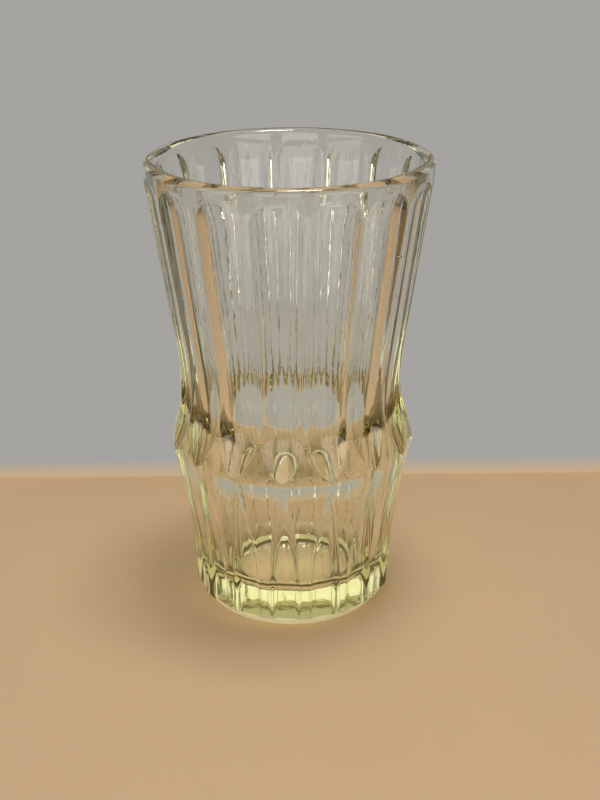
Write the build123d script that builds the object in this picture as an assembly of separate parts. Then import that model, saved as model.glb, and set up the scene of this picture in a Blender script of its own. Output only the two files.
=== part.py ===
from build123d import *

import os
from math import cos, radians, sin, sqrt, tan

# Fluted vase of clear pressed glass: one solid, open at the top.
# +Z is up and the origin is the centre of the plane that the foot rests on.
# Flutes run down from a plain rim band, and each ends in a pointed scoop over a girdle.
# Below the girdle long blade facets alternate with kite facets down to a chamfered foot.
# Lengths are in millimetres and angles in degrees.

# Whole vase
HEIGHT = 200.0
FLUTE_COUNT = 16

# Lower body, measured across its flats
GIRDLE_HEIGHT = 75.3
GIRDLE_ROUNDING = 12.0
GIRDLE_OVER_WAIST = 4.5
FOOT_INSIDE_GIRDLE = 8.8
BLADE_INSET = 0.5
BLADE_RUN_OUT = 3.3
SHANK_HEIGHT = 8.0
KITE_HEIGHT = 14.7
KITE_STEP = 0.4

# Upper wall, measured at the crowns of the ribs
WAIST_RADIUS = 48.4
WAIST_OVER_KITES = 13.0
WAIST_BEND = 19.0
RIM_OVER_WAIST = 11.9
RIM_BAND = 9.7
RIM_WALL = 6.0
RIM_CROWN = 2.7
RIM_EASING = 45.0
WAIST_WALL = 3.4

# Flutes
FLUTE_TOP_MARGIN = 5.5
FLUTE_TOP_CURVE = 17.0
FLUTE_CORNER = 9.0
FLANK_ANGLE = 32.0
RIB_LAND = 1.6
RIB_ROUNDING = 3.0
LAND_ANGLE = 10.0
SCOOP_UNDER_GIRDLE = 0.8
SCOOP_ANGLE = 24.2
SCOOP_CURVE = 30.0
FLUTE_SECTIONS = 16

# Foot and floor
CHAMFER_WIDTH = 4.8
CHAMFER_HEIGHT = 6.0
REST_RING = 5.8
UNDERSIDE_DEPTH = 1.5
FLOOR_THICKNESS = 14.0
FLOOR_BEVEL = 5.0

HALF_STEP = radians(180.0 / FLUTE_COUNT)
GIRDLE_RADIUS = WAIST_RADIUS + GIRDLE_OVER_WAIST
KITE_FOOT_RADIUS = GIRDLE_RADIUS - FOOT_INSIDE_GIRDLE
BLADE_FOOT_RADIUS = KITE_FOOT_RADIUS - BLADE_INSET
REST_RADIUS = BLADE_FOOT_RADIUS - CHAMFER_WIDTH
KITE_TOP = GIRDLE_HEIGHT + KITE_HEIGHT
WAIST_HEIGHT = KITE_TOP + WAIST_OVER_KITES
RIM_RADIUS = WAIST_RADIUS + RIM_OVER_WAIST
RIM_CENTRE = HEIGHT - RIM_CROWN
CONE_TOP = HEIGHT - RIM_BAND
CONE_START = WAIST_HEIGHT + WAIST_BEND
BEND_RATE = RIM_OVER_WAIST / (2.0 * (CONE_TOP - WAIST_HEIGHT) - WAIST_BEND) / WAIST_BEND
OUTSIDE = RIM_RADIUS + GIRDLE_RADIUS
OVERCUT = 1.0


def arc_radius(start_radius: float, start: float, height: float, curve: float) -> float:
    """Radius at a height on an arc that is vertical at its start and bends outward."""
    return start_radius + curve - sqrt(curve**2 - (height - start) ** 2)


def arc_through(start_radius: float, start: float, end_radius: float, end: float) -> float:
    """Curve of the arc that is vertical at one point and passes through another."""
    widening = end_radius - start_radius
    return (widening**2 + (end - start) ** 2) / (2.0 * widening)


def rib_slope(height: float) -> float:
    """Widening of the rib crowns with height on the bend of the waist."""
    return 2.0 * BEND_RATE * (height - WAIST_HEIGHT)


def rib_radius(height: float) -> float:
    """Radius of the rib crowns at a height: the bend of the waist, then the cone, then the rim band."""
    if height > CONE_START:
        return RIM_RADIUS - max(CONE_TOP - height, 0.0) * rib_slope(CONE_START)
    return WAIST_RADIUS + BEND_RATE * (height - WAIST_HEIGHT) ** 2


KITE_TOP_RADIUS = rib_radius(KITE_TOP) + KITE_STEP
KITE_CURVE = arc_through(KITE_FOOT_RADIUS, SHANK_HEIGHT, GIRDLE_RADIUS, GIRDLE_HEIGHT)
KITE_LEAN = (GIRDLE_RADIUS - KITE_TOP_RADIUS) / KITE_HEIGHT


def kite_radius(height: float) -> float:
    """Distance from the axis to a kite facet, as it is before the girdle is rounded."""
    if height > GIRDLE_HEIGHT:
        return GIRDLE_RADIUS - (height - GIRDLE_HEIGHT) * KITE_LEAN
    return arc_radius(KITE_FOOT_RADIUS, SHANK_HEIGHT, height, KITE_CURVE)


def flute_half_width(height: float) -> float:
    """Distance across from the middle of a flute to the edge of the rib beside it."""
    return rib_radius(max(height, WAIST_HEIGHT)) * sin(HALF_STEP) - RIB_LAND / 2.0


def flute_corner(angle: float) -> Vector:
    """Place on the round corner of a flute, from the end of its flat floor: depth, then width."""
    return Vector(1.0 - cos(angle), sin(angle)) * FLUTE_CORNER


def flute_edge(angle: float) -> Vector:
    """Place on the rolled edge of a rib, from the end of the flute's flat floor."""
    flank = radians(FLANK_ANGLE)
    turn = Vector(cos(angle) - cos(flank), sin(flank) - sin(angle))
    return flute_corner(flank) + turn * RIB_ROUNDING


def wall_floor_radius(height: float) -> float:
    """Radius of the flute floor where it follows the upper wall."""
    crown = rib_radius(max(height, WAIST_HEIGHT))
    return sqrt(crown**2 - flute_half_width(height) ** 2) - flute_edge(radians(LAND_ANGLE)).X


def flute_floor_radius(height: float) -> float:
    """Radius of the flute floor, from the tip of its scoop to its run-out under the rim."""
    tip = GIRDLE_HEIGHT - SCOOP_UNDER_GIRDLE
    tip_radius = kite_radius(tip) / cos(HALF_STEP)
    neck_radius = wall_floor_radius(WAIST_HEIGHT)
    lean = radians(SCOOP_ANGLE)
    straight = (tip_radius - neck_radius - SCOOP_CURVE * (1.0 - cos(lean))) / tan(lean)
    arc_top = tip + straight + SCOOP_CURVE * sin(lean)
    if height < tip + straight:
        return tip_radius - (height - tip) * tan(lean)
    if height < arc_top:
        return arc_radius(neck_radius, arc_top, height, SCOOP_CURVE)
    depth = RIM_RADIUS - wall_floor_radius(HEIGHT)
    run_out = HEIGHT - FLUTE_TOP_MARGIN - sqrt(2.0 * FLUTE_TOP_CURVE * depth - depth**2)
    return arc_radius(wall_floor_radius(height), run_out, max(height, run_out), FLUTE_TOP_CURVE)


def around(cutter: Part, first_angle: float) -> list[Part]:
    """Copies of a cutter round the axis, one for each flute, from a first angle in degrees."""
    return [Rot(0, 0, first_angle + 360.0 * k / FLUTE_COUNT) * cutter for k in range(FLUTE_COUNT)]


def inside_line() -> Wire:
    """Tapered inside from the axis at the floor, over the bevel of its corner and up to the rim."""
    mouth = RIM_RADIUS - RIM_WALL
    waist = wall_floor_radius(WAIST_HEIGHT) - WAIST_WALL
    taper = (mouth - waist) / (RIM_CENTRE - WAIST_HEIGHT)
    corner = Vector(mouth - (RIM_CENTRE - FLOOR_THICKNESS) * taper, FLOOR_THICKNESS)
    on_floor = corner - Vector(FLOOR_BEVEL, 0)
    on_wall = corner + Vector(taper, 1).normalized() * FLOOR_BEVEL
    return Polyline((0, FLOOR_THICKNESS), on_floor, on_wall, (mouth, RIM_CENTRE))


def waist_line(low: Vector, high: Vector) -> Edge:
    """Bend of the rib crowns round the waist between two places on it."""
    rise = (high.Y - low.Y) / 2.0
    return Bezier(low, low + Vector(rise * rib_slope(low.Y), rise), high)


def blank() -> Part:
    """Round hollow blank: the upper wall and its crowned rim over a wide drum for the lower body."""
    drum = GIRDLE_RADIUS + KITE_HEIGHT / 2.0
    wall_foot = Vector(rib_radius(KITE_TOP), KITE_TOP)
    cone_foot = Vector(rib_radius(CONE_START), CONE_START)
    rim_middle = (RIM_RADIUS - RIM_WALL / 2.0, RIM_CENTRE)
    rim_arc = 180.0 - 2.0 * RIM_EASING
    crown = EllipticalCenterArc(rim_middle, RIM_WALL / 2.0, RIM_CROWN, RIM_EASING, arc_size=rim_arc)
    inside = inside_line()
    outline = [
        Polyline((0, FLOOR_THICKNESS), (0, 0), (drum, 0), (drum, KITE_TOP + wall_foot.X - drum), wall_foot),
        waist_line(wall_foot, cone_foot),
        Polyline(cone_foot, (RIM_RADIUS, CONE_TOP), (RIM_RADIUS, RIM_CENTRE), crown @ 0),
        crown,
        Line(crown @ 1, inside @ 1),
        inside,
    ]
    return revolve(Plane.XZ * make_face(outline), Axis.Z)


def facet_cutter(face_line: list[Edge]) -> Part:
    """Prism outside a facet that is flat across and follows a line from the foot upward."""
    low = face_line[0] @ 0
    high = face_line[-1] @ 1
    back = Polyline(high, (OUTSIDE, high.Y), (OUTSIDE, low.Y), low)
    return extrude(Plane.XZ * make_face([*face_line, back]), GIRDLE_RADIUS / 2.0, both=True)


def shank_and_arc(foot_radius: float, curve: float, top: float) -> list[Edge]:
    """Upright shank from below the foot, then an arc bending outward up to a height."""
    middle = (SHANK_HEIGHT + top) / 2.0
    shank_top = (foot_radius, SHANK_HEIGHT)
    arc_middle = (arc_radius(foot_radius, SHANK_HEIGHT, middle, curve), middle)
    arc_top = (arc_radius(foot_radius, SHANK_HEIGHT, top, curve), top)
    return [Line((foot_radius, -OVERCUT), shank_top), ThreePointArc(shank_top, arc_middle, arc_top)]


def kite_cutter() -> Part:
    """Cutter for a kite facet, with the girdle rounded between its arc and its leaning top."""
    shank, arc = shank_and_arc(KITE_FOOT_RADIUS, KITE_CURVE, GIRDLE_HEIGHT)
    above_top = KITE_TOP + OVERCUT
    lean = Line((GIRDLE_RADIUS, GIRDLE_HEIGHT), (kite_radius(above_top), above_top))
    sharp = Wire([arc, lean])
    rounded = sharp.fillet_2d(GIRDLE_ROUNDING, [sharp.vertices().sort_by(Axis.Y)[1]])
    return facet_cutter([shank, *rounded.edges().sort_by(Axis.Y)])


def blade_cutter() -> Part:
    """Cutter for a blade facet that runs out at the corner between two kite facets."""
    run_out = GIRDLE_HEIGHT - BLADE_RUN_OUT
    corner = kite_radius(run_out) / cos(HALF_STEP)
    curve = arc_through(BLADE_FOOT_RADIUS, SHANK_HEIGHT, corner, run_out)
    return facet_cutter(shank_and_arc(BLADE_FOOT_RADIUS, curve, KITE_TOP))


def flute_points(height: float) -> list[Vector]:
    """Half of a flute's section at a height: flat floor, round corner, rolled rib edge and a wing."""
    flank, land = radians(FLANK_ANGLE), radians(LAND_ANGLE)
    flat = flute_half_width(height) - flute_edge(land).Y
    floor = Vector(flute_floor_radius(height), flat)
    corner = [floor + flute_corner(flank * share) for share in (0, 1 / 2, 1)]
    edge = floor + flute_edge(land)
    wing = edge + Vector(sin(land), cos(land)) * RIB_ROUNDING
    return [floor - Vector(0, flat), *corner, edge, wing]


def flute_section(height: float) -> Face:
    """Closed section of a flute cutter at a height, with its points spread alike at every height."""
    half = flute_points(height)
    across = [Vector(point.X, -point.Y) for point in reversed(half)] + half[1:]
    waist = flute_points(WAIST_HEIGHT)
    steps = [(end - start).length for start, end in zip(waist, waist[1:])]
    steps = steps[::-1] + steps
    places = [sum(steps[:k]) / sum(steps) for k in range(len(across))]
    tip = half[-1]
    far = tip.X + RIM_RADIUS
    back = Polyline((tip.X, tip.Y), (far, tip.Y), (far, -tip.Y), (tip.X, -tip.Y))
    return Pos(0, 0, height) * make_face([Edge.make_spline(across, parameters=places), back])


def flute_cutter() -> Part:
    """Cutter for a flute, lofted through level sections from under its scoop to above its run-out."""
    low = GIRDLE_HEIGHT - GIRDLE_OVER_WAIST
    step = (HEIGHT - low) / (FLUTE_SECTIONS - 1)
    return loft([flute_section(low + step * k) for k in range(FLUTE_SECTIONS)])


def foot_chamfer() -> Part:
    """Ring outside the cone that chamfers the foot."""
    slope = CHAMFER_WIDTH / CHAMFER_HEIGHT
    top = CHAMFER_HEIGHT + SHANK_HEIGHT
    low = -OVERCUT
    cone = [(REST_RADIUS + slope * height, height) for height in (low, top)]
    return revolve(Plane.XZ * make_face(Polyline(*cone, (OUTSIDE, top), (OUTSIDE, low), close=True)), Axis.Z)


def underside() -> Part:
    """Shallow dish under the floor that leaves a flat ring to rest on."""
    rim = REST_RADIUS - REST_RING
    ball = (rim**2 + UNDERSIDE_DEPTH**2) / (2.0 * UNDERSIDE_DEPTH)
    return Pos(0, 0, UNDERSIDE_DEPTH - ball) * Sphere(ball)


def vase() -> Part:
    """The vase: kites, blades, flutes and foot cut from the hollow blank."""
    half_step = 180.0 / FLUTE_COUNT
    body = blank()
    body -= around(kite_cutter(), half_step - 90.0)
    body -= around(blade_cutter(), -90.0)
    body -= around(flute_cutter(), -90.0)
    body -= foot_chamfer()
    return body - underside()


if __name__ == "__main__":
    os.makedirs("parts", exist_ok=True)
    export_step(vase(), "parts/vase_body.step")
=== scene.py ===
import logging
from collections.abc import Callable, Iterator
from dataclasses import dataclass, field
from enum import Enum
from functools import cached_property
from math import atan2, cos, pi, radians, sin, sqrt, tan

import bmesh
import bpy
from mathutils import Matrix, Vector


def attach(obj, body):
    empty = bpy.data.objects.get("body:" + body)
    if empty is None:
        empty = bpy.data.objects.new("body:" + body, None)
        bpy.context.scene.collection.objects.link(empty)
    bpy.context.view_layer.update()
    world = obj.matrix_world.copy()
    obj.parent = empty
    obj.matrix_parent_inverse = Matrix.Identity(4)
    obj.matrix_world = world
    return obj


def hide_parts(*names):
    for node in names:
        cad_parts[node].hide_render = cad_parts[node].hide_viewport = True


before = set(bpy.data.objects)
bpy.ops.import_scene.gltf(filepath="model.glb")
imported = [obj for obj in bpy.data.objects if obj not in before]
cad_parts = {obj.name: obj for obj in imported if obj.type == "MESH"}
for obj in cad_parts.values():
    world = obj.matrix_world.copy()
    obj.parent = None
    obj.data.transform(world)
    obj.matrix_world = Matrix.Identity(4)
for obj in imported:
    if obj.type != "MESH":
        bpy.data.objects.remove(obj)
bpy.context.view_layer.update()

# Clear pressed-glass vase: the glass body, its finish and a plain studio round it.
# The vase's sizes are in millimetres, and its finish and the studio are in metres.

MM = 0.001
LOG = logging.getLogger("vase")
Span = tuple[float, float]
Triple = tuple[float, float, float]
Point = tuple[float, float]
Profile = Callable[[float], Point]

# Passes that settle a flute's surface, and halvings that close in on its edge
FLUTE_PASSES = 8
EDGE_HALVINGS = 40


class Op(Enum):
    """Operations of a maths node."""

    ADD = "ADD"
    MULTIPLY = "MULTIPLY"
    ANGLE = "ARCTAN2"
    SINE = "SINE"


@dataclass(frozen=True)
class Signal:
    """Output socket of a shader node that takes part in sums like a number."""

    graph: "Graph"
    socket: bpy.types.NodeSocket

    def _join(self, op: Op, left: "Signal | float", right: "Signal | float") -> "Signal":
        """Signal of a maths node with two inputs."""
        return self.graph.add("ShaderNodeMath", {"operation": op.value}, {0: left, 1: right})

    def __add__(self, other: "Signal | float") -> "Signal":
        """Sum of the two."""
        return self._join(Op.ADD, self, other)

    def __radd__(self, other: float) -> "Signal":
        """Sum of the two."""
        return self._join(Op.ADD, other, self)

    def __mul__(self, other: "Signal | float") -> "Signal":
        """Product of the two."""
        return self._join(Op.MULTIPLY, self, other)

    def __rmul__(self, other: float) -> "Signal":
        """Product of the two."""
        return self._join(Op.MULTIPLY, other, self)

    def angle_over(self, across: "Signal") -> "Signal":
        """Angle of a direction, from this part of it and the part across."""
        return self._join(Op.ANGLE, self, across)

    def sine(self) -> "Signal":
        """Sine of this angle."""
        return self._join(Op.SINE, self, 0.0)


@dataclass(frozen=True)
class Grain:
    """Grain of a noise: grains per metre along X, Y and Z, and octaves of finer grain."""

    stretch: Triple
    detail: float


class Graph:
    """Node tree that is filled one node at a time."""

    def __init__(self, tree: bpy.types.NodeTree) -> None:
        """Start from an empty tree."""
        self.tree = tree
        tree.nodes.clear()

    def add(
        self,
        kind: str,
        settings: dict[str, object] | None = None,
        sockets: dict[str | int, object] | None = None,
        output: str | int = 0,
    ) -> Signal:
        """Add a node, with its settings first and its sockets after them.

        Args:
            kind: Type of the node.
            settings: Properties of the node.
            sockets: Values or signals for its input sockets, by name or index.
            output: Name or index of the output that is handed back.

        Returns:
            The node's output as a signal.
        """
        node = self.tree.nodes.new(kind)
        for name, value in (settings or {}).items():
            setattr(node, name, value)
        for key, value in (sockets or {}).items():
            if isinstance(value, Signal):
                self.tree.links.new(value.socket, node.inputs[key])
            else:
                node.inputs[key].default_value = value
        return Signal(self, node.outputs[output] if node.outputs else None)

    def noise(self, place: Signal, grain: Grain) -> Signal:
        """Noise about 0.5 whose grain is stretched along the axes.

        Args:
            place: Coordinates in metres.
            grain: How fine it is.

        Returns:
            The noise as a signal.
        """
        stretched = self.add("ShaderNodeMapping", None, {"Vector": place, "Scale": grain.stretch})
        sockets = {"Vector": stretched, "Scale": 1.0, "Detail": grain.detail}
        return self.add("ShaderNodeTexNoise", None, sockets)

    def mix(self, share: Signal, low: Signal | Triple, high: Triple) -> Signal:
        """Colour between two colours.

        Args:
            share: Share of the second colour.
            low: First colour.
            high: Second colour.

        Returns:
            The colour as a signal.
        """
        start = low if isinstance(low, Signal) else (*low, 1.0)
        settings = {"data_type": "RGBA", "clamp_factor": True}
        return self.add("ShaderNodeMix", settings, {"Factor": share, 6: start, 7: (*high, 1.0)}, 2)

    def span(self, signal: Signal, source: Span, target: Span = (0.0, 1.0)) -> Signal:
        """Signal moved from one range to another and held inside it.

        Args:
            signal: The signal.
            source: Start and end of its own range.
            target: What the start and the end become.

        Returns:
            The moved signal.
        """
        ends = {"From Min": source[0], "From Max": source[1], "To Min": target[0], "To Max": target[1]}
        return self.add("ShaderNodeMapRange", {"clamp": True}, {"Value": signal, **ends})

    def light(self, *kinds: str) -> list[Signal]:
        """Signals that tell one kind of ray from another."""
        return [self.add("ShaderNodeLightPath", output=kind) for kind in kinds]


def blank_material(name: str) -> tuple[bpy.types.Material, Graph]:
    """Make a material with no nodes yet.

    Args:
        name: Name of the material.

    Returns:
        The material and its node tree.
    """
    material = bpy.data.materials.new(name)
    material.use_nodes = True
    return material, Graph(material.node_tree)


@dataclass(frozen=True)
class ClearGlass:
    """Clear pressed glass: fire-polished waves, a faint yellow-green body and a matt foot."""

    name: str = "clear_glass"
    refraction: float = 1.51
    body_colour: Triple = (0.955, 0.96, 0.64)
    body_density: float = 13.5
    clean: Triple = (0.985, 0.99, 0.975)
    filmed: Triple = (0.955, 0.965, 0.935)
    film: Grain = Grain((38.0, 38.0, 22.0), 4.0)
    film_onset: Span = (0.42, 0.72)
    dull_onset: Span = (0.45, 0.80)
    dull_roughness: float = 0.05
    wave: Grain = Grain((70.0, 70.0, 9.0), 1.0)
    wave_height: float = 0.00022
    streak: Grain = Grain((420.0, 420.0, 14.0), 2.0)
    streak_height: float = 0.00007
    ground: Triple = (0.95, 0.95, 0.72)
    ground_share: float = 0.95
    ground_top: Span = (0.0042, 0.005)
    ground_start: Span = (0.0315, 0.033075)
    glow_share: float = 0.2
    passed: Triple = (0.46, 0.45, 0.37)
    turns_kept: Span = (2.0, 3.0)

    def polished(self, graph: Graph, place: Signal) -> Signal:
        """Fire-polished surface with soft waves, fine streaks and a thin film of handling.

        Args:
            graph: Node tree of the material.
            place: Object coordinates.

        Returns:
            The shader.
        """
        film = graph.noise(place, self.film)
        wave, streak = graph.noise(place, self.wave), graph.noise(place, self.streak)
        swell_sockets = {"Strength": 1.0, "Distance": self.wave_height, "Height": wave}
        swell = graph.add("ShaderNodeBump", None, swell_sockets)
        skin_sockets = {"Strength": 1.0, "Distance": self.streak_height, "Height": streak, "Normal": swell}
        skin = graph.add("ShaderNodeBump", None, skin_sockets)
        surface_sockets = {
            "Base Color": graph.mix(graph.span(film, self.film_onset), self.clean, self.filmed),
            "Roughness": graph.span(film, self.dull_onset, (0.0, self.dull_roughness)),
            "IOR": self.refraction,
            "Transmission Weight": 1.0,
            "Normal": skin,
        }
        return graph.add("ShaderNodeBsdfPrincipled", None, surface_sockets)

    def matt(self, graph: Graph) -> Signal:
        """Ground surface that scatters light back and lets a little through.

        Args:
            graph: Node tree of the material.

        Returns:
            The shader.
        """
        colour = {"Color": (*self.ground, 1.0)}
        pale = graph.add("ShaderNodeBsdfDiffuse", None, colour)
        glow = graph.add("ShaderNodeBsdfTranslucent", None, colour)
        return graph.add("ShaderNodeMixShader", None, {0: self.glow_share, 1: pale, 2: glow})

    def foot(self, graph: Graph, place: Signal) -> Signal:
        """Share of matt surface: nearly all on the resting ring and the chamfer, and none above them.

        Args:
            graph: Node tree of the material.
            place: Object coordinates.

        Returns:
            The share.
        """
        height = graph.add("ShaderNodeSeparateXYZ", None, {0: place}, "Z")
        flat = graph.add("ShaderNodeVectorMath", {"operation": "MULTIPLY"}, {0: place, 1: (1.0, 1.0, 0.0)})
        radius = graph.add("ShaderNodeVectorMath", {"operation": "LENGTH"}, {0: flat}, "Value")
        low = graph.span(height, self.ground_top, (self.ground_share, 0.0))
        return low * graph.span(radius, self.ground_start)

    def material(self) -> bpy.types.Material:
        """Make the glass.

        Returns:
            The material, in which shadows stay light and light that is long caught inside gets out.
        """
        glass, graph = blank_material(self.name)
        place = graph.add("ShaderNodeTexCoord", output="Object")
        skins = {0: self.foot(graph, place), 1: self.polished(graph, place), 2: self.matt(graph)}
        surface = graph.add("ShaderNodeMixShader", None, skins)
        shadow, turns = graph.light("Is Shadow Ray", "Glossy Depth")
        leaving = shadow + graph.span(turns, self.turns_kept)
        passing = graph.add("ShaderNodeBsdfTransparent", None, {"Color": (*self.passed, 1.0)})
        whole = graph.add("ShaderNodeMixShader", None, {0: leaving, 1: surface, 2: passing})
        tint = {"Color": (*self.body_colour, 1.0), "Density": self.body_density}
        body = graph.add("ShaderNodeVolumeAbsorption", None, tint)
        graph.add("ShaderNodeOutputMaterial", None, {"Surface": whole, "Volume": body})
        return glass


@dataclass(frozen=True)
class VaseForm:
    """Sizes of the vase in millimetres, and its radii at a height."""

    height: float = 200.0
    flutes: int = 16
    girdle_height: float = 75.3
    girdle_radius: float = 52.9
    girdle_rounding: float = 1.5
    kite_foot_radius: float = 44.1
    blade_foot_radius: float = 43.6
    blade_run_out: float = 3.3
    blade_recess: float = 1.7
    blade_flank: float = 3.2
    shank_height: float = 8.0
    kite_height: float = 14.7
    kite_step: float = 0.4
    waist_radius: float = 48.4
    waist_height: float = 103.0
    waist_bend: float = 19.0
    waist_wall: float = 2.6
    rim_radius: float = 60.3
    rim_band: float = 9.7
    rim_wall: float = 6.0
    rim_crown: float = 2.7
    flute_top_margin: float = 5.5
    flute_top_curve: float = 17.0
    flute_corner: float = 14.1
    flank: float = radians(32.0)
    land: float = radians(10.0)
    rib_land: float = 1.6
    rib_rounding: float = 3.0
    scoop_under_girdle: float = 0.8
    scoop_angle: float = radians(26.7)
    scoop_curve: float = 30.0
    rest_radius: float = 38.8
    chamfer_slope: float = 0.8
    rest_ring: float = 5.8
    dish_depth: float = 1.5
    floor_thickness: float = 12.4
    floor_corner: float = 11.0
    edge_rounding: float = 0.8

    @property
    def half_step(self) -> float:
        """Half of the angle from one flute to the next."""
        return pi / self.flutes

    @property
    def rim_centre(self) -> float:
        """Height where the rounding of the rim begins."""
        return self.height - self.rim_crown

    @property
    def kite_top(self) -> float:
        """Height of the tops of the kite facets."""
        return self.girdle_height + self.kite_height

    @property
    def blade_top(self) -> float:
        """Height where the blades run out."""
        return self.girdle_height - self.blade_run_out

    @cached_property
    def bend_rate(self) -> float:
        """Rate of the waist's bend that brings the cone above it out to the rim band."""
        rise = self.height - self.rim_band - self.waist_height
        return (self.rim_radius - self.waist_radius) / (2.0 * rise - self.waist_bend) / self.waist_bend

    @cached_property
    def edge_depth(self) -> float:
        """Depth of a flute at the edge of its rib."""
        corner = self.flute_corner * (1.0 - cos(self.flank))
        return corner + self.rib_rounding * (cos(self.land) - cos(self.flank))

    @cached_property
    def edge_width(self) -> float:
        """Width of a flute's corner and rolled edge together."""
        corner = self.flute_corner * sin(self.flank)
        return corner + self.rib_rounding * (sin(self.flank) - sin(self.land))

    @cached_property
    def kite_curve(self) -> float:
        """Curve of the kites' arc from the shank out to the girdle."""
        start = (self.kite_foot_radius, self.shank_height)
        return self.arc_through(*start, self.girdle_radius, self.girdle_height)

    @cached_property
    def blade_curve(self) -> float:
        """Curve of the blades' arc from the shank out to the corner where they run out."""
        start = (self.blade_foot_radius, self.shank_height)
        return self.arc_through(*start, self.girdle_corner(self.blade_top), self.blade_top)

    @staticmethod
    def arc(start_radius: float, start: float, height: float, curve: float) -> float:
        """Radius on an arc that is upright at its start and bends outward."""
        return start_radius + curve - sqrt(max(curve**2 - (height - start) ** 2, 0.0))

    @staticmethod
    def arc_through(start_radius: float, start: float, end_radius: float, end: float) -> float:
        """Curve of the arc that is upright at one point and passes through another."""
        widening = end_radius - start_radius
        return (widening**2 + (end - start) ** 2) / (2.0 * widening)

    @staticmethod
    def soft_min(first: float, second: float, softness: float) -> float:
        """Smaller of two radii, with the edge between them rounded over."""
        overlap = max(softness - abs(first - second), 0.0)
        return min(first, second) - overlap**2 / (4.0 * softness)

    def rib(self, height: float) -> float:
        """Radius of the rib crowns: bend of the waist, cone and rim band.

        Args:
            height: Height above the table.

        Returns:
            The radius in millimetres.
        """
        if height > self.waist_height + self.waist_bend:
            slope = 2.0 * self.bend_rate * self.waist_bend
            return self.rim_radius - max(self.height - self.rim_band - height, 0.0) * slope
        return self.waist_radius + self.bend_rate * (height - self.waist_height) ** 2

    def crown(self, height: float) -> float:
        """Radius of the round wall, which steps outward below the tops of the kites."""
        below = max(self.kite_top - height, 0.0)
        return self.rib(max(height, self.kite_top)) + below

    def facet(self, foot_radius: float, height: float, curve: float) -> float:
        """Distance from the axis to a facet: its upright shank, then an arc bending outward."""
        return self.arc(foot_radius, self.shank_height, max(height, self.shank_height), curve)

    def kite(self, height: float) -> float:
        """Distance from the axis to a kite facet, with the girdle rounded.

        Args:
            height: Height above the table.

        Returns:
            The distance in millimetres.
        """
        rise = self.facet(self.kite_foot_radius, height, self.kite_curve)
        top = self.rib(self.kite_top) + self.kite_step
        lean = (self.girdle_radius - top) / self.kite_height
        fall = self.girdle_radius - (height - self.girdle_height) * lean
        return self.soft_min(rise, fall, self.girdle_rounding)

    def girdle_corner(self, height: float) -> float:
        """Radius of the sharp corner between two kites below the girdle."""
        return self.facet(self.kite_foot_radius, height, self.kite_curve) / cos(self.half_step)

    def blade(self, height: float) -> float:
        """Distance from the axis to a blade facet."""
        return self.facet(self.blade_foot_radius, height, self.blade_curve)

    def half_width(self, height: float) -> float:
        """Distance across from the middle of a flute to the edge of its rib."""
        return self.rib(max(height, self.waist_height)) * sin(self.half_step) - self.rib_land / 2.0

    def wall_floor(self, height: float) -> float:
        """Radius of a flute's floor where it follows the upper wall."""
        crown = self.rib(max(height, self.waist_height))
        return sqrt(crown**2 - self.half_width(height) ** 2) - self.edge_depth

    def flute_floor(self, height: float) -> float:
        """Radius of a flute's floor from the tip of its scoop to its run-out under the rim.

        Args:
            height: Height above the table.

        Returns:
            The radius in millimetres.
        """
        tip = self.girdle_height - self.scoop_under_girdle
        tip_radius = self.girdle_corner(tip)
        neck = self.wall_floor(self.waist_height)
        drop = self.scoop_curve * (1.0 - cos(self.scoop_angle))
        straight = tip + (tip_radius - neck - drop) / tan(self.scoop_angle)
        arc_top = straight + self.scoop_curve * sin(self.scoop_angle)
        if height < straight:
            return tip_radius - (height - tip) * tan(self.scoop_angle)
        if height < arc_top:
            return self.arc(neck, arc_top, height, self.scoop_curve)
        depth = self.rim_radius - self.wall_floor(self.height)
        bend = sqrt(2.0 * self.flute_top_curve * depth - depth**2)
        run_out = self.height - self.flute_top_margin - bend
        return self.arc(self.wall_floor(height), run_out, max(height, run_out), self.flute_top_curve)

    def flute_rise(self, across: float) -> float:
        """Rise of a flute's section over its floor.

        Args:
            across: Distance past the end of the flat floor.

        Returns:
            The rise in millimetres: round corner, rolled edge, then a straight wing.
        """
        if across <= 0.0:
            return 0.0
        corner_width = self.flute_corner * sin(self.flank)
        if across < corner_width:
            return self.flute_corner - sqrt(self.flute_corner**2 - across**2)
        if across < self.edge_width:
            sine = sin(self.flank) - (across - corner_width) / self.rib_rounding
            corner_depth = self.flute_corner * (1.0 - cos(self.flank))
            return corner_depth + self.rib_rounding * (sqrt(1.0 - sine**2) - cos(self.flank))
        return self.edge_depth + (across - self.edge_width) * tan(self.land)

    def flute(self, height: float, turn: float) -> float:
        """Radius of a flute's surface at an angle from its middle.

        Args:
            height: Height above the table.
            turn: Angle from the middle of the flute.

        Returns:
            The radius in millimetres.
        """
        floor = self.flute_floor(height)
        flat = self.half_width(height) - self.edge_width
        radius = floor / cos(turn)
        for _ in range(FLUTE_PASSES):
            radius = (floor + self.flute_rise(radius * sin(turn) - flat)) / cos(turn)
        return radius

    def upper(self, height: float, turn: float) -> float:
        """Radius of the wall between the flutes, with the kites that lean against its foot.

        Args:
            height: Height above the table.
            turn: Angle from the middle of the nearest flute.

        Returns:
            The radius in millimetres.
        """
        if height > self.kite_top:
            return self.crown(height)
        return min(self.crown(height), self.kite(height) / cos(self.half_step - turn))

    def lower(self, height: float, turn: float) -> float:
        """Radius of the kites and of the sunken blades below the girdle.

        Args:
            height: Height above the table.
            turn: Angle from the middle of the nearest blade.

        Returns:
            The radius in millimetres.
        """
        kite = self.kite(height) / cos(self.half_step - turn)
        edge = self.edge(height)
        if turn >= edge:
            return kite
        flat = self.blade(height)
        inset = min(flat * (tan(edge) - tan(turn)) / self.blade_flank, 1.0)
        return (flat - self.blade_recess * inset * (2.0 - inset)) / cos(turn)

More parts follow.
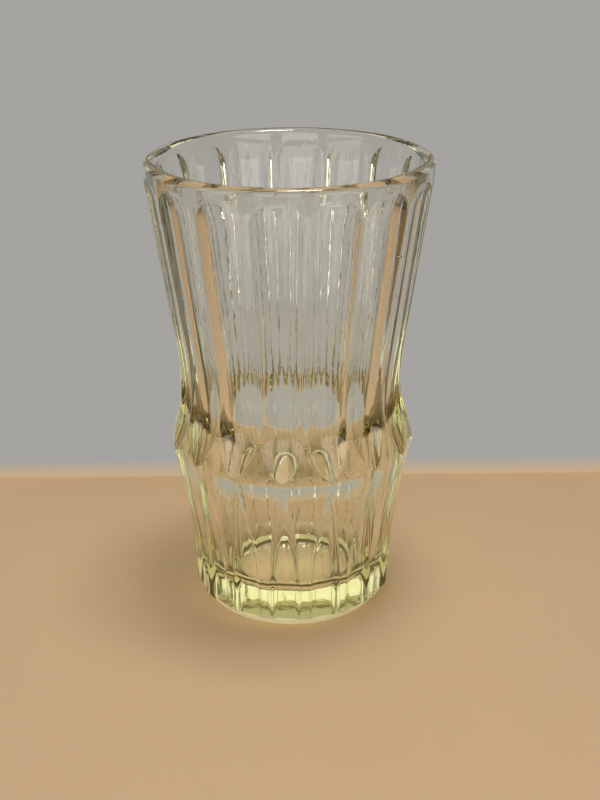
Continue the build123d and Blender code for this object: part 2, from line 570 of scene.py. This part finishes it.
    def outside(self, height: float, turn: float) -> float:
        """Radius of the outside above the foot's chamfer.

        Args:
            height: Height above the table.
            turn: Angle from the middle of the nearest flute.

        Returns:
            The radius in millimetres.
        """
        if height < self.blade_top:
            return self.lower(height, turn)
        return min(self.upper(height, turn), self.flute(height, turn))

    def foot(self, turn: float, share: float) -> Point:
        """Place on the foot's chamfer, a share of the way up to the facets' lower edge.

        Args:
            turn: Angle from the middle of the nearest flute.
            share: Share of the way, where more than one goes on up the facet.

        Returns:
            The radius and the height in millimetres.
        """
        facet = self.lower(0.0, turn)
        edge = (facet - self.rest_radius) / self.chamfer_slope
        return min(self.rest_radius + (facet - self.rest_radius) * share, facet), edge * share

    def edge(self, height: float) -> float:
        """Angle from the middle of a flute to the edge of its blade or of its scoop and rib.

        Args:
            height: Height above the table.

        Returns:
            The angle, none where neither blade nor flute reaches.
        """
        step = self.half_step
        if height < self.blade_top:
            return max(atan2(self.kite(height) / self.blade(height) - cos(step), sin(step)), 0.0)
        if self.flute(height, 0.0) >= self.upper(height, 0.0):
            return 0.0
        low, high = 0.0, step
        for _ in range(EDGE_HALVINGS):
            middle = (low + high) / 2.0
            within = self.flute(height, middle) < self.upper(height, middle)
            low, high = (middle, high) if within else (low, middle)
        return low

    def inside(self, height: float) -> float:
        """Radius of the tapered inside above the corner of its floor.

        Args:
            height: Height above the table.

        Returns:
            The radius in millimetres.
        """
        mouth = self.rim_radius - self.rim_wall
        waist = self.wall_floor(self.waist_height) - self.waist_wall
        return mouth - (self.rim_centre - height) * (mouth - waist) / (self.rim_centre - self.waist_height)


def dressed(name: str, mesh: bmesh.types.BMesh, material: bpy.types.Material) -> bpy.types.Object:
    """Make an object of a finished mesh, and link it to the scene.

    Args:
        name: Name of the object.
        mesh: Its mesh, which is used up.
        material: Its finish.

    Returns:
        The object.
    """
    data = bpy.data.meshes.new(name)
    mesh.to_mesh(data)
    mesh.free()
    data.materials.append(material)
    piece = bpy.data.objects.new(name, data)
    bpy.context.collection.objects.link(piece)
    return piece


@dataclass(frozen=True)
class Seed:
    """Small bubble in the wall: its angle from the front, height and radius."""

    turn: float
    height: float
    radius: float


@dataclass
class GlassBody:
    """The vase as one closed body of glass, drawn ring by ring from the underside to the floor inside."""

    form: VaseForm
    finish: ClearGlass
    name: str = "vase_glass"
    inner_columns: int = 11
    outer_columns: int = 3
    crowding: float = 1.5
    plain_edge: float = 0.7
    dish_rings: int = 7
    rest_steps: Span = (0.6, 1.5)
    foot_shares: tuple[float, ...] = (0.0, 0.06, 0.25, 0.5, 0.75, 0.95, 1.0, 1.05, 1.15)
    side_rings: tuple[tuple[float, int], ...] = (
        (66.0, 17),
        (71.0, 5),
        (92.0, 46),
        (110.0, 12),
        (182.0, 18),
        (190.5, 10),
        (194.75, 18),
    )
    band_rings: int = 4
    rim_rings: int = 14
    wall_rings: int = 12
    corner_rings: int = 9
    floor_rings: int = 5
    merge_gap: float = 0.002
    seed_detail: int = 2
    seeds: tuple[Seed, ...] = (
        Seed(radians(-49.8), 161.5, 0.45),
        Seed(radians(-36.9), 177.6, 0.35),
        Seed(radians(58.7), 166.0, 0.4),
        Seed(radians(18.9), 157.2, 0.35),
        Seed(radians(53.2), 110.4, 0.45),
        Seed(radians(-49.9), 93.4, 0.4),
        Seed(radians(38.0), 62.0, 0.35),
    )
    mesh: bmesh.types.BMesh = field(default_factory=bmesh.new)

    @property
    def columns(self) -> int:
        """Columns from the middle of a flute to the middle of its rib."""
        return self.inner_columns + 2 + self.outer_columns

    @staticmethod
    def spread(low: float, high: float, count: int) -> Iterator[float]:
        """Evenly spread values from a low one up to, but without, a high one."""
        return (low + (high - low) * k / count for k in range(count))

    def turns(self, edge: float, radius: float) -> list[float]:
        """Angles of the columns of half a flute, with one on its edge and one close on each side of it.

        Args:
            edge: Angle of the edge from the middle of the flute.
            radius: Radius of the ring.

        Returns:
            The angles, from the middle of the flute to the middle of the rib.
        """
        close = self.form.edge_rounding / radius
        within = max(edge - close, 0.0)
        past = min(edge + close, self.form.half_step)
        inner, outer = self.inner_columns, self.outer_columns
        crowded = [within * (1.0 - (1.0 - k / inner) ** self.crowding) for k in range(inner + 1)]
        rest = [past + (self.form.half_step - past) * k / outer for k in range(outer + 1)]
        return [*crowded, edge, *rest]

    def outer_heights(self) -> Iterator[float]:
        """Place the rings of the outside over the foot, closer together where its edges are.

        Returns:
            Their heights.
        """
        low = self.form.shank_height
        for high, count in (*self.side_rings, (self.form.rim_centre, self.band_rings)):
            yield from self.spread(low, high, count)
            low = high

    def underside(self) -> Iterator[Point]:
        """Place the rings of the dish under the foot and of the resting ring.

        Returns:
            Their radii and heights.
        """
        form = self.form
        rim = form.rest_radius
        dish = rim - form.rest_ring
        for radius in self.spread(0.0, dish, self.dish_rings):
            yield radius, form.dish_depth * (1.0 - (radius / dish) ** 2)
        inner_step, outer_step = self.rest_steps
        for radius in (dish, dish + inner_step, rim - outer_step, rim - form.edge_rounding):
            yield radius, 0.0

    def rim(self) -> Iterator[Point]:
        """Place the rings over the rounded rim.

        Returns:
            Their radii and heights.
        """
        form = self.form
        half = form.rim_wall / 2.0
        for turn in self.spread(0.0, pi, self.rim_rings):
            yield form.rim_radius - half + half * cos(turn), form.rim_centre + form.rim_crown * sin(turn)

    def hollow(self) -> Iterator[Point]:
        """Place the rings down the inside, round its corner and over its floor.

        Returns:
            Their radii and heights.
        """
        form = self.form
        corner = Vector((form.inside(form.floor_thickness), form.floor_thickness))
        high = corner.y + form.floor_corner
        for height in self.spread(form.rim_centre, high, self.wall_rings):
            yield form.inside(height), height
        on_wall = Vector((form.inside(high), high))
        on_floor = corner - Vector((form.floor_corner, 0.0))
        for share in self.spread(0.0, 1.0, self.corner_rings):
            place = on_wall.lerp(corner, share).lerp(corner.lerp(on_floor, share), share)
            yield place.x, place.y
        for share in self.spread(0.0, 1.0, self.floor_rings):
            yield on_floor.x * (1.0 - share), on_floor.y
        yield 0.0, form.floor_thickness

    def rings(self) -> Iterator[tuple[float, Profile]]:
        """Put every ring in order, from the middle of the underside to the middle of the floor.

        Returns:
            For each ring the angle of its edge, and its radius and height at an angle.
        """
        form = self.form
        plain = self.plain_edge * form.half_step
        foot_edge = form.edge(0.0)
        for place in self.underside():
            yield foot_edge, lambda turn, place=place: place
        for share in self.foot_shares:
            yield foot_edge, lambda turn, share=share: form.foot(turn, share)
        for height in self.outer_heights():
            edge = form.edge(height)
            if height > form.height - form.flute_top_margin:
                edge = plain
            yield edge, lambda turn, height=height: (form.outside(height, turn), height)
        for place in (*self.rim(), *self.hollow()):
            yield plain, lambda turn, place=place: place

    def first_ring(self) -> tuple[bmesh.types.BMLayerItem, bmesh.types.BMLayerItem]:
        """Make the first ring, and note on each vertex its flute and its column.

        Returns:
            The layer of the flutes' angles and the layer of the columns' signed numbers.
        """
        flutes = self.mesh.verts.layers.float.new("flute")
        columns = self.mesh.verts.layers.int.new("column")
        bmesh.ops.create_circle(self.mesh, segments=2 * self.columns * self.form.flutes, radius=1.0)
        step = 2.0 * self.form.half_step
        for vert in self.mesh.verts:
            turn = atan2(vert.co.x, -vert.co.y)
            vert[flutes] = round(turn / step) * step
            vert[columns] = round((turn - vert[flutes]) / step * 2 * self.columns)
        return flutes, columns

    def pull(
        self, edges: list[bmesh.types.BMEdge]
    ) -> tuple[list[bmesh.types.BMVert], list[bmesh.types.BMEdge]]:
        """Pull a new ring out of the edges of the last.

        Args:
            edges: Edges of the last ring.

        Returns:
            The vertices and the edges of the new ring.
        """
        pulled = bmesh.ops.extrude_edge_only(self.mesh, edges=edges)["geom"]
        verts = [part for part in pulled if isinstance(part, bmesh.types.BMVert)]
        fresh = set(verts)
        sides = [part for part in pulled if isinstance(part, bmesh.types.BMEdge)]
        return verts, [side for side in sides if fresh.issuperset(side.verts)]

    def draw(self) -> None:
        """Draw the body by pulling one ring out of the last, then close it and turn its faces outward."""
        flutes, columns = self.first_ring()
        verts, edges = self.mesh.verts[:], self.mesh.edges[:]
        for count, (edge, profile) in enumerate(self.rings()):
            if count:
                verts, edges = self.pull(edges)
            turns = self.turns(edge, max(profile(0.0)[0], 1.0))
            places = [profile(turn) for turn in turns]
            for vert in verts:
                column = vert[columns]
                turn = vert[flutes] + (turns[column] if column >= 0 else -turns[-column])
                radius, height = places[abs(column)]
                vert.co = Vector((radius * sin(turn), -radius * cos(turn), height)) * MM
        bmesh.ops.remove_doubles(self.mesh, verts=self.mesh.verts, dist=self.merge_gap * MM)
        bmesh.ops.recalc_face_normals(self.mesh, faces=self.mesh.faces)

    def blow_seeds(self) -> None:
        """Set the bubbles half way through the wall, as small hollows."""
        step = 2.0 * self.form.half_step
        for seed in self.seeds:
            near = abs(seed.turn - round(seed.turn / step) * step)
            middle = (self.form.outside(seed.height, near) + self.form.inside(seed.height)) / 2.0
            spot = Vector((middle * sin(seed.turn), -middle * cos(seed.turn), seed.height)) * MM
            ball = {"subdivisions": self.seed_detail, "radius": seed.radius * MM}
            made = bmesh.ops.create_icosphere(self.mesh, **ball, matrix=Matrix.Translation(spot))
            skin = {face for vert in made["verts"] for face in vert.link_faces}
            bmesh.ops.reverse_faces(self.mesh, faces=list(skin))

    def build(self) -> bpy.types.Object:
        """Make the piece.

        Returns:
            The object, which stands for the CAD node of the vase.
        """
        self.draw()
        self.blow_seeds()
        for face in self.mesh.faces:
            face.smooth = True
        piece = dressed(self.name, self.mesh, self.finish.material())
        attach(piece, "root")
        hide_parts("vase_body")
        LOG.info("%s: %d faces", self.name, len(piece.data.polygons))
        return piece


@dataclass(frozen=True)
class FloorPaper:
    """Plain warm paper of the floor, matt and a little uneven."""

    name: str = "floor_paper"
    colour: Triple = (0.58, 0.42, 0.265)
    worn: Triple = (0.565, 0.405, 0.255)
    mottle: Grain = Grain((9.0, 9.0, 9.0), 3.0)
    roughness: float = 0.6

    def material(self) -> bpy.types.Material:
        """Make the paper.

        Returns:
            The material.
        """
        paper, graph = blank_material(self.name)
        place = graph.add("ShaderNodeTexCoord", output="Object")
        colour = graph.mix(graph.noise(place, self.mottle), self.colour, self.worn)
        sockets = {"Base Color": colour, "Roughness": self.roughness}
        surface = graph.add("ShaderNodeBsdfPrincipled", None, sockets)
        graph.add("ShaderNodeOutputMaterial", None, {"Surface": surface})
        return paper


@dataclass(frozen=True)
class BackdropPaper:
    """Plain backdrop, with a pool of light painted low behind the vase that only the glass catches, which
    paints the glow of the vase's thick base.
    """

    name: str = "backdrop_paper"
    foot: Triple = (0.55, 0.40, 0.25)
    head: Triple = (0.38, 0.37, 0.355)
    fade: Span = (0.002, 0.010)
    # Painted light: a pale yellow pool whose glow, seen through the glass, makes the vase's base look
    # bright.
    painted_light_pool: Triple = (1.0, 0.97, 0.64)
    painted_light_pool_place: Triple = (-0.012, 0.0, 0.057)
    painted_light_pool_size: Triple = (0.110, 1.0, 0.055)
    painted_light_pool_edge: Span = (0.6, 1.0)
    caught_turns: Span = (0.0, 1.0)

    def colour(self, graph: Graph) -> Signal:
        """Colour of the paper: the floor's tone at its foot, and the painted pool of light in light turned
        inside the glass.

        Args:
            graph: Node tree of the material.

        Returns:
            The colour.
        """
        place = graph.add("ShaderNodeTexCoord", output="Object")
        height = graph.add("ShaderNodeSeparateXYZ", None, {0: place}, "Z")
        plain = graph.mix(graph.span(height, self.fade), self.foot, self.head)
        around = {"Vector": place, "Location": self.painted_light_pool_place, "Scale": self.painted_light_pool_size}
        offset = graph.add("ShaderNodeMapping", {"vector_type": "TEXTURE"}, around)
        reach = graph.add("ShaderNodeVectorMath", {"operation": "LENGTH"}, {0: offset}, "Value")
        (turns,) = graph.light("Glossy Depth")
        # Painted light: share of the painted pool, only in light that has been mirrored inside the glass.
        painted_light_share = graph.span(reach, self.painted_light_pool_edge, (1.0, 0.0)) * graph.span(turns, self.caught_turns)
        return graph.mix(painted_light_share, plain, self.painted_light_pool)

    def material(self) -> bpy.types.Material:
        """Make the paper.

        Returns:
            The material: seen directly, mirrored or through glass it shows its colour with no shadow.
        """
        paper, graph = blank_material(self.name)
        colour = self.colour(graph)
        matt = graph.add("ShaderNodeBsdfDiffuse", None, {"Color": colour})
        even = graph.add("ShaderNodeEmission", None, {"Color": colour, "Strength": 1.0})
        camera, glossy, through = graph.light("Is Camera Ray", "Is Glossy Ray", "Is Transmission Ray")
        front = graph.add("ShaderNodeMixShader", None, {0: camera + glossy + through, 1: matt, 2: even})
        back = graph.add("ShaderNodeNewGeometry", output="Backfacing")
        clear = graph.add("ShaderNodeBsdfTransparent")
        surface = graph.add("ShaderNodeMixShader", None, {0: back, 1: front, 2: clear})
        graph.add("ShaderNodeOutputMaterial", None, {"Surface": surface})
        return paper


@dataclass(frozen=True)
class Lamp:
    """Soft square light that is aimed at the vase."""

    name: str
    place: Triple
    side: float
    power: float
    colour: Triple

    def hang(self, aim: Vector) -> None:
        """Hang the lamp and aim it.

        Args:
            aim: Place that it shines at.
        """
        light = bpy.data.lights.new(self.name, "AREA")
        light.size = self.side
        light.energy = self.power
        light.color = self.colour
        lamp = bpy.data.objects.new(self.name, light)
        spot = Vector(self.place)
        turn = (aim - spot).to_track_quat("-Z", "Y").to_matrix().to_4x4()
        lamp.matrix_world = Matrix.Translation(spot) @ turn
        bpy.context.collection.objects.link(lamp)


@dataclass(frozen=True)
class Studio:
    """Pale floor and backdrop, soft lamps, dim surroundings and the camera of the photograph."""

    floor: FloorPaper = FloorPaper()
    wall: BackdropPaper = BackdropPaper()
    extent: float = 3.0
    wall_distance: float = 0.115
    wall_half_width: float = 0.2
    front_turn: float = radians(4.7)
    panels: int = 7
    panel_light: Triple = (0.24, 0.205, 0.155)
    panel_gap: Triple = (0.10, 0.086, 0.066)
    panel_edge: Span = (-0.2, 0.4)
    aim: Triple = (0.0, 0.0, 0.1)
    lamps: tuple[Lamp, ...] = (
        Lamp("front_lamp", (-0.1, -1.15, 0.5), 0.75, 4.6, (1.0, 0.94, 0.84)),
        Lamp("left_lamp", (-0.9, -0.78, 0.4), 0.75, 3.6, (1.0, 0.94, 0.84)),
        Lamp("right_lamp", (0.76, -0.9, 0.46), 0.75, 4.6, (1.0, 0.94, 0.84)),
        Lamp("top_lamp", (0.1, 0.02, 1.3), 0.3, 9.0, (1.0, 0.95, 0.88)),
    )
    focal_pixels: float = 1415.0
    picture_height: float = 800.0
    sensor: float = 36.0
    pitch: float = radians(22.18)
    yaw: float = radians(0.365)
    roll: float = radians(0.414)
    distance: float = 0.5789
    eye_height: float = 0.3268

    def sheet(self, name: str, finish: FloorPaper | BackdropPaper, pose: Matrix) -> None:
        """Lay a square sheet of the studio.

        Args:
            name: Name of the sheet.
            finish: Its surface.
            pose: Where it lies.
        """
        mesh = bmesh.new()
        bmesh.ops.create_grid(mesh, x_segments=1, y_segments=1, size=self.extent, matrix=pose)
        piece = dressed(name, mesh, finish.material())
        LOG.info("%s laid", name)

    def shoot(self) -> None:
        """Set up the camera of the photograph."""
        data = bpy.data.cameras.new("camera")
        data.sensor_width = self.sensor
        data.lens = self.sensor * self.focal_pixels / self.picture_height
        camera = bpy.data.objects.new("camera", data)
        bpy.context.collection.objects.link(camera)
        spot = Matrix.Translation((0.0, -self.distance, self.eye_height))
        stand = Matrix.Rotation(self.front_turn, 4, "Z") @ spot
        look = Matrix.Rotation(-self.yaw, 4, "Z") @ Matrix.Rotation(pi / 2.0 - self.pitch, 4, "X")
        camera.matrix_world = stand @ look @ Matrix.Rotation(-self.roll, 4, "Z")
        bpy.context.scene.camera = camera

    def surround(self) -> None:
        """Stand soft panels of light round the studio, with dim gaps between them."""
        world = bpy.data.worlds.new("room")
        world.use_nodes = True
        graph = Graph(world.node_tree)
        way = graph.add("ShaderNodeTexCoord", output="Generated")
        across, along = (graph.add("ShaderNodeSeparateXYZ", None, {0: way}, axis) for axis in "XY")
        swing = (along.angle_over(across) * float(self.panels)).sine()
        panels = graph.mix(graph.span(swing, self.panel_edge), self.panel_gap, self.panel_light)
        (camera,) = graph.light("Is Camera Ray")
        plain_sockets = {"Color": (*self.wall.head, 1.0), "Strength": 1.0}
        plain = graph.add("ShaderNodeBackground", None, plain_sockets)
        room = graph.add("ShaderNodeBackground", None, {"Color": panels, "Strength": 1.0})
        seen = graph.add("ShaderNodeMixShader", None, {0: camera, 1: room, 2: plain})
        graph.add("ShaderNodeOutputWorld", None, {"Surface": seen})
        bpy.context.scene.world = world

    def build(self) -> None:
        """Set up the whole studio."""
        front = Matrix.Rotation(self.front_turn, 4, "Z")
        self.sheet("floor", self.floor, Matrix.Identity(4))
        away = Matrix.Translation((0.0, self.wall_distance, 0.0))
        upright = front @ away @ Matrix.Rotation(pi / 2.0, 4, "X")
        upright @= Matrix.Diagonal((self.wall_half_width / self.extent, 1.0, 1.0, 1.0))
        self.sheet("backdrop", self.wall, upright)
        for lamp in self.lamps:
            lamp.hang(Vector(self.aim))
        self.surround()
        self.shoot()
        bpy.context.scene.view_settings.view_transform = "Standard"


def main() -> None:
    """Build the vase and its studio."""
    logging.basicConfig(level=logging.INFO)
    GlassBody(VaseForm(), ClearGlass()).build()
    Studio().build()


if __name__ == "__main__":
    main()
